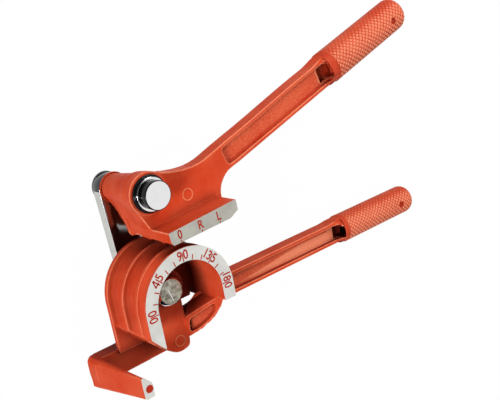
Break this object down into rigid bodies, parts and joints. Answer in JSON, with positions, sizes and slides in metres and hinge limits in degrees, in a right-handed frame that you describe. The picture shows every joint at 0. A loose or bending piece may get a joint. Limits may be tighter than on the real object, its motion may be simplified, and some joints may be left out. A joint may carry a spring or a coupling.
{
  "type": "pipe bender",
  "caption": "Hand pipe bender: a grooved half-round former with a degree dial and hook, and a grooved shoe on a second handle, joined by a link.",
  "frame": {"origin": "the former's axis at the flat tail of the former's pin", "axes": "+X along the lower handle towards its grip, +Y from the former's axis towards the dial's 90, +Z out of the dial's face"},
  "size_m": [0.2315, 0.146, 0.0534],
  "materials": {
    "former_casting": "textured red-orange paint, machined bare dial face",
    "forming_casting": "textured red-orange paint, machined bare shoe edge",
    "link": "ground edges, bright plated ends",
    "former_pin": "mottled plated head with a bright chamfer",
    "upper_pin": "bright chrome",
    "upper_collar": "bright chrome",
    "former_washer": "plain plated",
    "upper_washer": "plain plated",
    "former_ring": "dark spring steel",
    "upper_ring": "dark spring steel"
  },
  "bodies": {
    "former": {"former_casting": "former_casting", "former_pin": "former_pin", "former_ring": "former_ring"},
    "link": {"link": "link", "upper_pin": "upper_pin", "upper_collar": "upper_collar", "upper_washer": "upper_washer", "upper_ring": "upper_ring", "former_washer": "former_washer"},
    "forming": {"forming_casting": "forming_casting"}
  },
  "joints": [
    {"name": "link_swing", "type": "hinge", "parent": "former", "child": "link", "pos_m": [0, 0, 0], "axis": [0, 0, 1], "range_deg": [-90, 90]},
    {"name": "handle_swing", "type": "hinge", "parent": "link", "child": "forming", "pos_m": [-0.0021, 0.04875, 0], "axis": [0, 0, 1], "range_deg": [-3, 150]}
  ]
}
